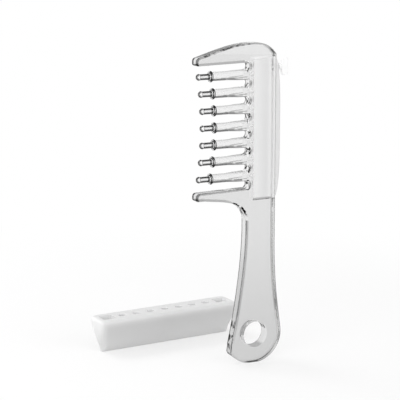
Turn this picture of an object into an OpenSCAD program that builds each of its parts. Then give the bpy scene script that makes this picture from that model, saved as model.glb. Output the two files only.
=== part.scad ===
// Scalp applicator comb: a clear moulded comb whose hollow teeth end in dispensing nozzles, a white
// reservoir with a squeeze pad and a filler plug in the spine, and a tooth cap that lies behind it.
// X runs from the tooth tips to the spine, Y from the front face to the back, Z up the handle.
// The comb stands on the end of its handle, and the cap stands on its narrow edge, mouth up.

/* [Comb] */
// Thickness of the moulded plate
plate_t = 8; // [7.6:0.1:10]
// Radius along the edges of the plate
edge_r = 1.3; // [0.8:0.1:1.6]
// Distance from the roots of the teeth to the spine
head_d = 18.7; // [18:0.1:24]
// Height of the middle tooth above the foot
row_z = 154.2; // [150:0.2:160]
// Height of the crown over the middle tooth
crown_rise = 51.8; // [51:0.1:56]
// Distance from the roots of the teeth to the highest point of the crown
crown_x = 2.4; // [0:0.1:5]
// Drop from the crown to its corner at the spine
corner_drop = 7.6; // [6:0.1:8]

/* [Handle] */
// Radius of the rounded end of the handle
end_r = 19; // [17.5:0.1:21]
// Centre of the rounded end, from the roots of the teeth
end_x = 4.8; // [4:0.1:7]
// Place of the handle's inner edge at the grip
grip_x = -2; // [-3:0.1:0]
// Height above the foot where the spine begins to run straight
spine_z = 80; // [74:1:88]
// Height of the handle's waist
waist_z = 70; // [64:1:76]
// Radius of the heel
heel_r = 3.6; // [3:0.1:4.5]
// Distance from the centre of the rounded end to the centre of the heel
heel_d = 13.8; // [12:0.1:15]
// Height of the centre of the heel
heel_z = 8.9; // [7:0.1:11]
// Radius of the hanging hole
hang_r = 8.2; // [6:0.1:9.5]
// Width of the round on the rim of the hanging hole
hang_rim = 0.9; // [0.4:0.1:1.2]

/* [Teeth] */
// Number of hollow teeth, with a solid guard tooth beyond each end of the row
teeth = 7; // [7:1:7]
// Distance from tooth to tooth
pitch = 10.65; // [10:0.05:11]
// Height of a tooth at its root, along the row
tooth_h = 6; // [5.6:0.1:6.4]
// Diameter of a tooth at its nozzle
tooth_tip_d = 5.6; // [5:0.1:6]
// Length of the middle tooth, from its root to the nozzle's collar
tooth_l = 22.8; // [18:0.1:26]
// Radius of the arc that the tips lie on
tip_arc_r = 193; // [150:1:260]
// Length of a guard tooth beyond the collar of the middle tooth
guard_l = 14.3; // [12:0.1:16]
// Height of a guard tooth at its tip
guard_tip_h = 5; // [4.6:0.1:5.6]
// Drop of a guard tooth from its root to its tip
guard_dip = 0.6; // [0:0.1:1]
// Radius of the bore that feeds a nozzle
feed_r = 1.1; // [1:0.05:1.2]

/* [Nozzles] */
// Radius of the stem that is pressed into the tooth
stem_r = 1.5; // [1.4:0.05:1.6]
// Length of the stem
stem_l = 6.5; // [4:0.1:8]
// Radius of the collar
collar_r = 3.5; // [3.2:0.1:3.9]
// Thickness of the collar
collar_t = 1.3; // [1:0.1:1.8]
// Radius of the spout
spout_r = 1.85; // [1.6:0.05:1.95]
// Radius of the domed head of the spout
dome_r = 2.1; // [2:0.05:2.3]
// Length of the domed head
dome_l = 2.1; // [1.8:0.1:3]
// Length from the collar's seat to the tip of the dome
nozzle_l = 10.5; // [9:0.1:12]
// Radius of the orifice
orifice_r = 0.5; // [0.35:0.05:0.7]

/* [Reservoir] */
// Distance from the roots of the teeth to the pocket
pocket_x = 2.6; // [2.2:0.1:4]
// Width of the pocket across the plate
pocket_t = 5; // [4.6:0.1:5.4]
// Reach of the pocket below the middle tooth
pocket_low = 47.6; // [46:0.1:49]
// Reach of the pocket above the middle tooth, at the spine
pocket_high = 42.7; // [42:0.1:43]
// Rise of the pocket's upper end towards the spine, so that the tray draws out
pocket_rise = 1.2; // [0.6:0.1:2]
// Clearance of the reservoir and the pad in the pocket
slip = 0.15; // [0.1:0.01:0.2]
// Wall of the reservoir
shell_t = 1; // [0.8:0.05:1.1]
// Depth that the squeeze pad stands in the mouth of the pocket
pad_seat = 1.5; // [1:0.1:2.5]
// Travel of the squeeze pad
pad_travel = 1.5; // [1:0.1:2]
// Height of the pad's crown over the spine
pad_crown = 4.2; // [3:0.1:5]
// Clearance of the pad's tongue in the reservoir
tongue_gap = 0.3; // [0.25:0.01:0.4]
// Length of an outlet, which enters the feed bore
outlet_l = 2; // [1:0.1:3]

/* [Filler plug] */
// Radius of the plug's stem
plug_r = 1.15; // [1:0.01:1.2]
// Distance from the upper end of the pocket to the plug
plug_drop = 6.9; // [6.5:0.1:8]
// Radius of the flange under the tab
flange_r = 2.2; // [1.8:0.1:2.3]
// Reach of the pull tab beyond its flange
tab_l = 6; // [4:0.1:8]
// Height of the pull tab
tab_h = 11.5; // [8:0.1:12]
// Thickness of the pull tab
tab_t = 1.8; // [1.2:0.1:2.2]

/* [Tooth cap] */
// Length of the cap at its mouth
cap_l = 103; // [100:0.5:106]
// Length of the cap at its narrow edge
cap_foot_l = 96; // [93:0.5:98]
// Depth of the cap at its mouth
cap_d = 20; // [18:0.5:24]
// Depth of the cap at its narrow edge
cap_foot_d = 4; // [3:0.1:8]
// Height of the cap as it stands
cap_h = 22.4; // [20.5:0.1:24]
// Radius round the mouth of the cap
cap_rim_r = 2; // [1.5:0.1:2.2]
// Clearance round a nozzle or a guard tooth in the cap
cap_slack = 0.5; // [0.3:0.05:0.6]
// Height of a guard tooth over its middle where it leaves the cap
guard_mouth = 4.4; // [4.2:0.1:4.6]
// Centre of the cap along X, from the roots of the teeth
cap_x = -26; // [-30:0.5:-18]
// Centre of the cap behind the middle of the plate
cap_y = 66.5; // [50:0.5:80]
// Turn of the cap away from the comb, as it was put down
cap_turn = 3; // [0:0.5:8]

/* [Hidden] */

// Radial clearance of a stem in its bore
fit = 0.04;
// Overlap of a cut beyond the face that it opens
over = 1;
// Sides of a full circle on small and on large round features
small_fn = 32;
large_fn = 64;

// Radius of the round end of the gap between two teeth
gap_r = (pitch - tooth_h) / 2;
// Where the round ends of the gaps start, and where a separate tooth meets the plate
root_x = -gap_r;
// Centre of the rounded end, over a foot that is moulded flat
foot_cut = 0.15;
end_z = end_r - foot_cut;
foot_half = sqrt(end_r * end_r - end_z * end_z);
foot_a = -acos(foot_half / end_r);
// Heights of the crown, its corner and the ends of the pocket
crown_z = row_z + crown_rise;
corner_z = crown_z - corner_drop;
pocket_z0 = row_z - pocket_low;
pocket_z1 = row_z + pocket_high;
// Height of tooth k, counted from the middle of the row
middle = (teeth + 1) / 2;
function tooth_z(k) = row_z - (k - middle) * pitch;
// Setback of a tip from the middle one, on the arc of the tips
function setback(dz) = tip_arc_r - sqrt(tip_arc_r * tip_arc_r - dz * dz);
function seat_x(k) = -tooth_l - setback(tooth_z(k) - row_z);
guard_x = -tooth_l - guard_l;

// Ends of the reservoir's tray and of the pad, along X
tray_x0 = pocket_x + slip;
pad_x0 = head_d - pad_seat;
tray_x1 = pad_x0 - pad_travel;
// Upper end of the pocket at place x
function pocket_top(x) = pocket_z1 - pocket_rise * (head_d - x) / (head_d - pocket_x);
// Side view of the pocket, or of a solid in it, from x0 to x1 and d inside its ends
function pocket_side(x0, x1, d) = [
    [x0, pocket_z0 + d], [x1, pocket_z0 + d], [x1, pocket_top(x1) - d], [x0, pocket_top(x0) - d]
];
tray_t = pocket_t - 2 * slip;
hollow_t = tray_t - 2 * shell_t;
tongue_t = hollow_t - 2 * tongue_gap;
plug_z = pocket_z1 - plug_drop;
// The pad clears the ends of the pocket when it is pressed in too
pad_z0 = pocket_z0 + 2 * slip;
pad_z1 = pocket_top(tray_x1) - slip;
pad_mid = (pad_z0 + pad_z1) / 2;
pad_half = (pad_z1 - pad_z0) / 2;
// Place of the pad's outer face at height z: a superellipse, full in the middle and round at its ends
crown_power = 3.5;
function pad_face(z) =
    head_d + pad_crown * sqrt(1 - pow(min(1, abs(z - pad_mid) / pad_half), crown_power));
flange_t = 1;
// The flange is seated on the pad's face where that stands furthest out under it
flange_x = pad_face(plug_z - flange_r);

// Half of the box round the mouth of the cap, which is a turned rectangle with round corners
cap_corner_r = 4;
cap_corner = [cap_l / 2 - cap_corner_r, cap_d / 2 - cap_corner_r];
cap_half_x = cap_corner.x * cos(cap_turn) + cap_corner.y * sin(cap_turn) + cap_corner_r;
cap_half_y = cap_corner.x * sin(cap_turn) + cap_corner.y * cos(cap_turn) + cap_corner_r;
// Everything is placed so that its box is centred over the origin
right_x = max(end_x + end_r, flange_x + flange_t + tab_l, cap_x + cap_half_x);
left_x = min(guard_x, cap_x - cap_half_x);
shift_x = -(left_x + right_x) / 2;
shift_y = -(cap_y + cap_half_y - plate_t / 2) / 2;

// Points of a cubic Bezier curve, without its last one
function curve(a, b, c, d, n) = [
    for (i = [0:n - 1]) let (t = i / n, s = 1 - t)
        s * s * s * a + 3 * s * s * t * b + 3 * s * t * t * c + t * t * t * d
];
// Points of an arc from angle a0 to angle a1
function arc(cx, cy, r, a0, a1, n) = [
    for (i = [0:n]) let (a = a0 + (a1 - a0) * i / n) [cx + r * cos(a), cy + r * sin(a)]
];
// Points of a rectangle with round corners, as wide as w and as high as h
function round_rect(w, h, r, n) = concat(
    arc(w / 2 - r, h / 2 - r, r, 0, 90, n), arc(r - w / 2, h / 2 - r, r, 90, 180, n),
    arc(r - w / 2, r - h / 2, r, 180, 270, n), arc(w / 2 - r, r - h / 2, r, 270, 360, n)
);

// Ears of an outline: its corners are cut off one triangle at a time, so a hollow outline keeps its shape
function turn(a, b, c) = (b.x - a.x) * (c.y - a.y) - (b.y - a.y) * (c.x - a.x);
function covers(a, b, c, p) = turn(a, b, p) >= 0 && turn(b, c, p) >= 0 && turn(c, a, p) >= 0;
function is_ear(points, a, b, c, left) = turn(points[a], points[b], points[c]) > 0 && len([
    for (k = left) if (k != a && k != b && k != c && covers(points[a], points[b], points[c], points[k])) k
]) == 0;
function next_ear(points, left, i) = let (n = len(left))
    i == n - 1 || is_ear(points, left[(i + n - 1) % n], left[i], left[(i + 1) % n], left)
        ? i : next_ear(points, left, i + 1);
function ears(points, left) = len(left) < 4 ? [left] :
    let (n = len(left), i = next_ear(points, left, 0)) concat(
        [[left[(i + n - 1) % n], left[i], left[(i + 1) % n]]],
        ears(points, [for (k = [0:n - 1]) if (k != i) left[k]])
    );

// A closed solid through rings that have the same number of points; the ends are one outline each
module loft(rings, outline) {
    n = len(rings[0]);
    last = len(rings) - 1;
    sides = [
        for (k = [0:last - 1], i = [0:n - 1]) let (j = (i + 1) % n)
            each [[k * n + i, (k + 1) * n + i, k * n + j], [k * n + j, (k + 1) * n + i, (k + 1) * n + j]]
    ];
    first_end = ears(outline, [for (i = [0:n - 1]) i]);
    last_end = [for (e = first_end) [for (i = [2:-1:0]) last * n + e[i]]];
    polyhedron([for (ring = rings) each ring], concat(sides, first_end, last_end), convexity = 12);
}

// The outline, moved inwards by d at every point
function normal(a, b) = let (v = (b - a) / norm(b - a)) [v.y, -v.x];
function inset(points, d) = let (n = len(points)) [
    for (i = [0:n - 1])
        let (m = normal(points[(i + n - 1) % n], points[i]), q = normal(points[i], points[(i + 1) % n]))
            points[i] - d * (m + q) / (1 + m * q)
];
// A plate with a round along every edge of its outline, standing in the plane of X and Z
module rounded_plate(points, t, r, steps) {
    levels = [for (i = [0:steps]) 90 * i / steps];
    low = [for (a = levels) [r * (1 - sin(a)), t / 2 - r * (1 - cos(a))]];
    high = [for (i = [steps:-1:0]) [low[i][0], -low[i][1]]];
    loft([for (s = concat(low, high)) [for (p = inset(points, s[0])) [p.x, s[1], p.y]]], inset(points, r));
}

// A slab with the given side view, t thick about the middle of the plate
module slab(side, t) {
    rotate([90, 0, 0]) linear_extrude(t, center = true) polygon(side);
}

// Outline of the comb in X and Z, counted anticlockwise from the foot
guard_z = row_z + middle * pitch;
lower_guard_z = row_z - middle * pitch;
guard_edge = tooth_h / 2;
// Length by which the outline runs on into the teeth, before it is cut square at their roots
stub = 2 * edge_r;
// A guard tooth has a large round above and a small one below, and the crown meets the upper one at tip_a
tip_r = 2.2;
tip_low_r = 1.4;
tip_a = 107;
upper_tip_z = guard_z - guard_edge - guard_dip + guard_tip_h;
lower_tip_z = lower_guard_z + guard_edge - guard_dip;
function guard_tip(z, start_a) = concat(
    arc(guard_x + tip_r, z - tip_r, tip_r, start_a, 180, 6),
    arc(guard_x + tip_low_r, z - guard_tip_h + tip_low_r, tip_low_r, 180, 270, 4)
);
// Pulls of the curves of the crown
crown_pull = 13;
corner_pull = [3.5, 5.2];
crown_sweep = [15, 3.9];
// Curve from the lower guard tooth to the grip
under_z = lower_tip_z - guard_tip_h;
under_start = [6, -0.1];
under_pull = [18.5, -2.1];
grip_pull = [0.4, -1.1];
grip_drop = 17.2;
// Curve from the grip to the heel
waist_pull = 0.2;
flare = [4.6, 38];
// Curves of the rounded end: the spine's side leaves it at rise_a, the heel runs from heel_in_a to heel_a
rise_a = 8;
side_pull = 14;
side_in = [end_x + end_r * cos(rise_a), end_z + end_r * sin(rise_a)];
spine_pull = 28;
heel = [end_x - heel_d, heel_z];
heel_in_a = 188;
heel_a = 228;
heel_out = heel + heel_r * [cos(heel_a), sin(heel_a)];
heel_pull = 6;
foot_x = end_x - foot_half;
foot_pull = 7;
function comb_outline() = concat(
    arc(end_x, end_z, end_r, foot_a, rise_a - 7, 12),
    curve(side_in, side_in + side_pull * [-sin(rise_a), cos(rise_a)],
        [head_d, spine_z - spine_pull], [head_d, spine_z], 8),
    [[head_d, spine_z]],
    curve([head_d, corner_z], [head_d - corner_pull.x, corner_z + corner_pull.y],
        [(head_d + crown_x) / 2, crown_z], [crown_x, crown_z], 7),
    curve([crown_x, crown_z], [crown_x - crown_pull, crown_z],
        [guard_x, upper_tip_z] + crown_sweep, guard_tip(upper_tip_z, tip_a)[0], 9),
    guard_tip(upper_tip_z, tip_a),
    [for (k = [0:teeth]) each concat(
        k == 0 ? [] : [for (s = [1, -1]) [root_x - stub, tooth_z(k) + s * tooth_h / 2]],
        arc(root_x, tooth_z(k + 0.5), gap_r, 90, -90, 10)
    )],
    guard_tip(lower_tip_z, 90),
    curve([guard_x, under_z] + under_start, [guard_x, under_z] + under_pull,
        [grip_x, under_z] + grip_pull, [grip_x, under_z - grip_drop], 10),
    curve([grip_x, under_z - grip_drop], [grip_x + waist_pull, waist_z], [grip_x - flare.x, flare.y],
        heel + heel_r * [-1, 0.6], 9),
    arc(heel.x, heel.y, heel_r, heel_in_a, heel_a - 6, 4),
    curve(heel_out, heel_out + heel_pull * [-sin(heel_a), cos(heel_a)],
        [foot_x - foot_pull, 0], [foot_x, 0], 7),
    [[foot_x, 0]]
);

// Rounded rim of a hole along Y, cut from the front or the back face
module rim_cut(r, round_r) {
    rotate_extrude($fn = large_fn) polygon(concat(
        [[0, over], [r + round_r, over]],
        arc(r + round_r, -round_r, round_r, 90, 180, 6), [[0, -round_r]]
    ));
}

module comb_body() {
    color([0.93, 0.95, 0.96, 0.45]) difference() {
        rounded_plate(comb_outline(), plate_t, edge_r, 3);
        translate([root_x - 2 * stub, -plate_t, tooth_z(teeth) - pitch / 2])
            cube([2 * stub, 2 * plate_t, teeth * pitch]);
        slab(pocket_side(pocket_x, head_d + over, 0), pocket_t);
        for (k = [1:teeth]) translate([root_x - over, 0, tooth_z(k)]) rotate([0, 90, 0])
            cylinder(h = pocket_x - root_x + 2 * over, r = feed_r, $fn = small_fn);
        translate([end_x, 0, end_z]) {
            rotate([90, 0, 0]) cylinder(h = plate_t + 2 * over, r = hang_r, center = true, $fn = large_fn);
            for (s = [-1, 1]) rotate([-90 * s, 0, 0]) translate([0, 0, plate_t / 2])
                rim_cut(hang_r, hang_rim);
        }
    }
}

// Hollow tooth k: a flat bar at the root that narrows to a round socket for its nozzle
module tooth(k) {
    l = root_x - seat_x(k);
    socket_r = tooth_tip_d / 2 - 0.01;
    // Share of the length, width across the plate, share of the taper in height and corner radius
    sections = [
        [0, plate_t, 0, edge_r], [0.26, plate_t * 0.94, 0.45, 1.6], [0.4, plate_t * 0.83, 0.7, 2.1],
        [0.5, tooth_tip_d + 0.4, 0.9, socket_r - 0.3], [0.56, tooth_tip_d, 1, socket_r],
        [1, tooth_tip_d, 1, socket_r]
    ];
    color([0.93, 0.95, 0.96, 0.45]) translate([0, 0, tooth_z(k)]) difference() {
        loft(
            [for (s = sections) let (h = tooth_h + (tooth_tip_d - tooth_h) * s[2]) [
                for (p = round_rect(s[1], h, s[3], 6)) [root_x - s[0] * l, -p.x, p.y]
            ]],
            round_rect(plate_t, tooth_h, edge_r, 6)
        );
        translate([seat_x(k) - over, 0, 0]) rotate([0, 90, 0])
            cylinder(h = l + 2 * over, r = feed_r, $fn = small_fn);
        translate([seat_x(k) - over, 0, 0]) rotate([0, 90, 0])
            cylinder(h = stem_l + fit + over, r = stem_r + fit, $fn = small_fn);
    }
}

// Nozzle k: stem, collar, spout and domed head round one orifice
module nozzle(k) {
    round_r = collar_t * 0.35;
    neck = nozzle_l - dome_l;
    color([0.9, 0.92, 0.94, 0.6]) translate([seat_x(k), 0, tooth_z(k)]) rotate([0, -90, 0])
        rotate_extrude($fn = small_fn) polygon(concat(
            [[orifice_r, -stem_l], [stem_r - 0.2, -stem_l], [stem_r, 0.3 - stem_l], [stem_r, 0]],
            arc(collar_r - round_r, round_r, round_r, -90, 0, 3),
            arc(collar_r - round_r, collar_t - round_r, round_r, 0, 90, 3),
            [[spout_r, collar_t], [spout_r, neck - 0.3], [dome_r, neck]],
            [for (a = [15:15:60]) [dome_r * cos(a), neck + dome_l * sin(a)]],
            [[orifice_r, neck + dome_l * sqrt(1 - pow(orifice_r / dome_r, 2))]]
        ));
}

// White tray that fills the pocket, with an outlet into every feed bore
module reservoir() {
    color("white") difference() {
        union() {
            slab(pocket_side(tray_x0, tray_x1, slip), tray_t);
            for (k = [1:teeth]) translate([tray_x0 - outlet_l, 0, tooth_z(k)]) rotate([0, 90, 0])
                cylinder(h = outlet_l + shell_t / 2, r = feed_r - 2 * fit, $fn = small_fn);
        }
        slab(pocket_side(tray_x0 + shell_t, tray_x1 + over, slip + shell_t), hollow_t);
        for (k = [1:teeth]) translate([tray_x0 - outlet_l - over, 0, tooth_z(k)]) rotate([0, 90, 0])
            cylinder(h = outlet_l + shell_t + 2 * over, r = orifice_r, $fn = small_fn);
    }
}

// Crowned pad that closes the reservoir: pressing it in drives the liquid to the nozzles
module squeeze_pad() {
    pad_t = pocket_t - 4 * slip;
    nose_r = pad_t * 0.3;
    tongue_x0 = tray_x1 - 3;
    tongue_z0 = pocket_z0 + slip + shell_t + tongue_gap;
    tongue_z1 = plug_z - flange_r;
    steps = 24;
    color("white") difference() {
        union() {
            intersection() {
                slab(concat(
                    [[pad_x0, pad_z1], [pad_x0, pad_z0]],
                    [for (i = [0:steps]) let (z = pad_mid - pad_half * cos(180 * i / steps)) [pad_face(z), z]]
                ), pad_t + over);
                // The crown is narrower than the mouth at its edges and full along its middle
                translate([0, 0, pad_z0]) linear_extrude(2 * pad_half) polygon(concat(
                    [[pad_x0, pad_t / 2], [pad_x0, -pad_t / 2]],
                    arc(head_d + pad_crown - nose_r, nose_r - pad_t / 2, nose_r, -90, 0, 6),
                    arc(head_d + pad_crown - nose_r, pad_t / 2 - nose_r, nose_r, 0, 90, 6)
                ));
            }
            translate([tongue_x0, -tongue_t / 2, tongue_z0])
                cube([pad_x0 - tongue_x0 + over, tongue_t, tongue_z1 - tongue_z0]);
        }
        translate([pad_x0 - over, 0, plug_z]) rotate([0, 90, 0])
            cylinder(h = pad_crown + pad_seat + 2 * over, r = plug_r + fit, $fn = small_fn);
    }
}

// Filler plug: a stem through the pad, a flange on the pad's face and a pull tab
module filler_plug() {
    stem_x0 = tray_x1 - 1.5;
    neck_l = 1.6;
    neck_h = flange_r * 1.5;
    lobe_l = tab_l + flange_t / 2 - neck_l;
    color("white") translate([0, 0, plug_z]) {
        translate([stem_x0, 0, 0]) rotate([0, 90, 0])
            cylinder(h = flange_x - stem_x0 + flange_t / 2, r = plug_r, $fn = small_fn);
        translate([flange_x, 0, 0]) rotate([0, 90, 0]) cylinder(h = flange_t, r = flange_r, $fn = small_fn);
        translate([flange_x + flange_t / 2, tab_t / 2, 0]) rotate([90, 0, 0]) linear_extrude(tab_t) {
            translate([0, -neck_h / 2]) square([tab_l / 2, neck_h]);
            translate([neck_l + lobe_l / 2, 0]) polygon(round_rect(lobe_l, tab_h, lobe_l * 0.44, 6));
        }
    }
}

// Cap for the teeth, with a round socket for each nozzle and a slot for each guard tooth
module tooth_cap() {
    rim_z = cap_h - cap_rim_r;
    // The mouth rests on the collars of the outer nozzles
    socket_d = nozzle_l - collar_t + cap_slack;
    slot_h = guard_l - collar_t - setback((middle - 1) * pitch) + cap_slack;
    // A slot takes either guard tooth, and widens to its mouth as they do
    slot_in = guard_edge + guard_dip + cap_slack;
    slot_out = guard_tip_h + guard_dip - guard_edge + cap_slack;
    mouth_out = guard_mouth + cap_slack;
    // Length and depth at height z: straight ends, and bellied sides over a narrow foot
    function cap_size(z) = let (s = z / rim_z)
        [cap_foot_l + (cap_l - cap_foot_l) * s, cap_foot_d + (cap_d - cap_foot_d) * sin(90 * s)];
    walls = [for (i = [0:6]) [rim_z * i / 6, 0]];
    rim = [for (i = [1:4]) let (a = 90 * i / 4) [rim_z + cap_rim_r * sin(a), cap_rim_r * (1 - cos(a))]];
    color("white") translate([cap_x, cap_y, 0]) rotate([0, 0, cap_turn]) difference() {
        loft(
            [for (s = concat(walls, rim)) let (size = cap_size(min(s[0], rim_z)), w = size[1] - 2 * s[1]) [
                for (p = round_rect(size[0] - 2 * s[1], w, min(cap_corner_r, w / 2 - 0.2), 6))
                    [p.x, p.y, s[0]]
            ]],
            round_rect(cap_foot_l, cap_foot_d, cap_foot_d / 2 - 0.2, 6)
        );
        for (k = [1:teeth]) translate([tooth_z(k) - row_z, 0, cap_h - socket_d])
            cylinder(h = socket_d + over, r = dome_r + cap_slack, $fn = small_fn);
        for (s = [0, 1]) mirror([s, 0, 0]) translate([middle * pitch, 0, cap_h - slot_h]) slab([
            [-slot_in, 0], [slot_out, 0], [mouth_out, slot_h],
            [mouth_out, slot_h + over], [-slot_in, slot_h + over]
        ], plate_t + 2 * cap_slack);
    }
}

translate([shift_x, shift_y, 0]) {
    comb_body();
    tooth(1);  // tooth_1
    tooth(2);  // tooth_2
    tooth(3);  // tooth_3
    tooth(4);  // tooth_4
    tooth(5);  // tooth_5
    tooth(6);  // tooth_6
    tooth(7);  // tooth_7
    nozzle(1);  // nozzle_1
    nozzle(2);  // nozzle_2
    nozzle(3);  // nozzle_3
    nozzle(4);  // nozzle_4
    nozzle(5);  // nozzle_5
    nozzle(6);  // nozzle_6
    nozzle(7);  // nozzle_7
    reservoir();
    squeeze_pad();
    filler_plug();
    tooth_cap();
}
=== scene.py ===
"""Scalp applicator comb: a clear moulded comb with dispensing nozzles, a white reservoir and pad in its
spine, and a milky tooth cap that stands behind it."""
from math import cos, hypot, pi, radians, sin, sqrt

import bmesh
import bpy
from mathutils import Matrix, Vector


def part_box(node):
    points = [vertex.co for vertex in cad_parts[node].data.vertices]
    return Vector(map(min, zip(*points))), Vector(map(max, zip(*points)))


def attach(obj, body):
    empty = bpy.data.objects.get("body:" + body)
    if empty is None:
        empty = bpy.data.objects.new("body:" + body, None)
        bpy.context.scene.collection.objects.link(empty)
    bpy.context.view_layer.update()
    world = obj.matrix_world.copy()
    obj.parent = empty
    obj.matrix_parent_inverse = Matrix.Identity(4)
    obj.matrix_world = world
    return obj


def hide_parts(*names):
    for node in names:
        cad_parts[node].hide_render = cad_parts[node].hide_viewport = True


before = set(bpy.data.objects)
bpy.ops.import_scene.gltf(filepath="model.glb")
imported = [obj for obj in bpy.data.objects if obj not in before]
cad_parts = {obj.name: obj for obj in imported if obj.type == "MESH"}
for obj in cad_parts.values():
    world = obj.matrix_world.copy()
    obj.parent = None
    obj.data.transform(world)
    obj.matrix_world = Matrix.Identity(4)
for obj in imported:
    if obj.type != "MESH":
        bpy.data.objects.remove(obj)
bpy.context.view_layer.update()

# The camera as fitted to the photograph: its lens and place in millimetres, and the degrees by which it
# stands to the left of the front and looks down
LENS, CAMERA_PLACE, CAMERA_TURN, CAMERA_DROP = 139.5, (-461.0, -839.7, 304.2), 27, 11.665

# Sizes in millimetres, from the roots of the teeth, the plate's middle and the foot, as in the part's source
PLATE_T, EDGE_R, HEAD_D = 8.0, 1.3, 18.7
ROW_Z, CROWN_Z, CROWN_X, CORNER_Z = 154.2, 206.0, 2.4, 198.4
END_R, END_X, GRIP_X, SPINE_Z, WAIST_Z = 19.0, 4.8, -2.0, 80.0, 70.0
HEEL_R, HEEL_D, HEEL_Z, HANG_R, HANG_RIM = 3.6, 13.8, 8.9, 8.2, 0.9
TEETH, PITCH, TOOTH_H, TOOTH_TIP_D, TOOTH_L, TIP_ARC_R = 7, 10.65, 6.0, 5.6, 22.8, 193.0
GUARD_L, GUARD_TIP_H, GUARD_DIP, FEED_R = 14.3, 5.0, 0.6, 1.1
STEM_R, STEM_L, COLLAR_R, COLLAR_T, SPOUT_R = 1.5, 6.5, 3.5, 1.3, 1.85
DOME_R, DOME_L, NOZZLE_L, ORIFICE_R, FIT = 2.1, 2.1, 10.5, 0.5, 0.04
POCKET_X, POCKET_T, POCKET_Z0, POCKET_Z1, POCKET_RISE = 2.6, 5.0, 106.6, 196.9, 1.2
SLIP, SHELL_T, PAD_SEAT, PAD_TRAVEL, PAD_CROWN, OUTLET_L = 0.15, 1.0, 1.5, 1.5, 4.2, 2.0
PLUG_R, PLUG_DROP, FLANGE_R, TAB_L, TAB_H, TAB_T = 1.15, 6.9, 2.2, 6.0, 11.5, 1.8
CAP_L, CAP_FOOT_L, CAP_D, CAP_FOOT_D, CAP_H, CAP_RIM_R = 103.0, 96.0, 20.0, 4.0, 22.4, 2.0
CAP_SLACK, GUARD_MOUTH, CAP_X, CAP_Y, CAP_TURN = 0.5, 4.4, -26.0, 66.5, 3
# How far the plate's outline runs on into the teeth, in millimetres
RUN_ON = 2.6

ROW = range(1, TEETH + 1)
END_Z = END_R - 0.15
GAP_R = (PITCH - TOOTH_H) / 2
ROOT_X = -GAP_R
MIDDLE = (TEETH + 1) / 2
GUARD_X = -TOOTH_L - GUARD_L
GUARD_EDGE = TOOTH_H / 2
GUARD_Z, LOWER_GUARD_Z = ROW_Z + MIDDLE * PITCH, ROW_Z - MIDDLE * PITCH
TRAY_X0, PAD_X0 = POCKET_X + SLIP, HEAD_D - PAD_SEAT
TRAY_X1 = PAD_X0 - PAD_TRAVEL
PLUG_Z = POCKET_Z1 - PLUG_DROP


def pocket_top(x):
    return POCKET_Z1 - POCKET_RISE * (HEAD_D - x) / (HEAD_D - POCKET_X)


PAD_Z0, PAD_Z1 = POCKET_Z0 + 2 * SLIP, pocket_top(TRAY_X1) - SLIP
PAD_MID, PAD_HALF = (PAD_Z0 + PAD_Z1) / 2, (PAD_Z1 - PAD_Z0) / 2

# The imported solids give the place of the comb's own frame in the row frame
low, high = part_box("comb_body")
ORIGIN = Vector((low.x - GUARD_X / 1000, (low.y + high.y) / 2, 0))


def at(x, y, z):
    return ORIGIN + Vector((x, y, z)) / 1000


def tooth_z(k):
    return ROW_Z - (k - MIDDLE) * PITCH


def setback(dz):
    return TIP_ARC_R - sqrt(TIP_ARC_R**2 - dz * dz)


def seat_x(k):
    return -TOOTH_L - setback(tooth_z(k) - ROW_Z)


# Outlines

def curve(a, b, c, d, n):
    """The first n of the n + 1 points of a Bezier curve from a to d with the handles b and c."""
    points = []
    for i in range(n):
        t = i / n
        s = 1 - t
        w = (s * s * s, 3 * s * s * t, 3 * s * t * t, t * t * t)
        points.append(tuple(sum(w[k] * p[j] for k, p in enumerate((a, b, c, d))) for j in (0, 1)))
    return points


def arc(cx, cy, r, a0, a1, n):
    angles = [radians(a0 + (a1 - a0) * i / n) for i in range(n + 1)]
    return [(cx + r * cos(a), cy + r * sin(a)) for a in angles]


def round_rect(w, h, r, n=8):
    x, y = w / 2 - r, h / 2 - r
    return (arc(x, y, r, 0, 90, n) + arc(-x, y, r, 90, 180, n)
            + arc(-x, -y, r, 180, 270, n) + arc(x, -y, r, 270, 360, n))


def inset(points, d):
    """An outline that runs against the clock, drawn in by d on every side."""
    moved = []
    n = len(points)
    for i, p in enumerate(points):
        a, b = points[i - 1], points[(i + 1) % n]
        u, v = (p[0] - a[0], p[1] - a[1]), (b[0] - p[0], b[1] - p[1])
        lu, lv = hypot(*u), hypot(*v)
        m, q = (u[1] / lu, -u[0] / lu), (v[1] / lv, -v[0] / lv)
        k = d / (1 + m[0] * q[0] + m[1] * q[1])
        moved.append((p[0] - k * (m[0] + q[0]), p[1] - k * (m[1] + q[1])))
    return moved


def guard_tip(z, start):
    """The end of a guard tooth whose upper face ends at height z."""
    upper_r, lower_r = 2.2, 1.4
    return (arc(GUARD_X + upper_r, z - upper_r, upper_r, start, 180, 16)
            + arc(GUARD_X + lower_r, z - GUARD_TIP_H + lower_r, lower_r, 180, 270, 14))


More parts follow.
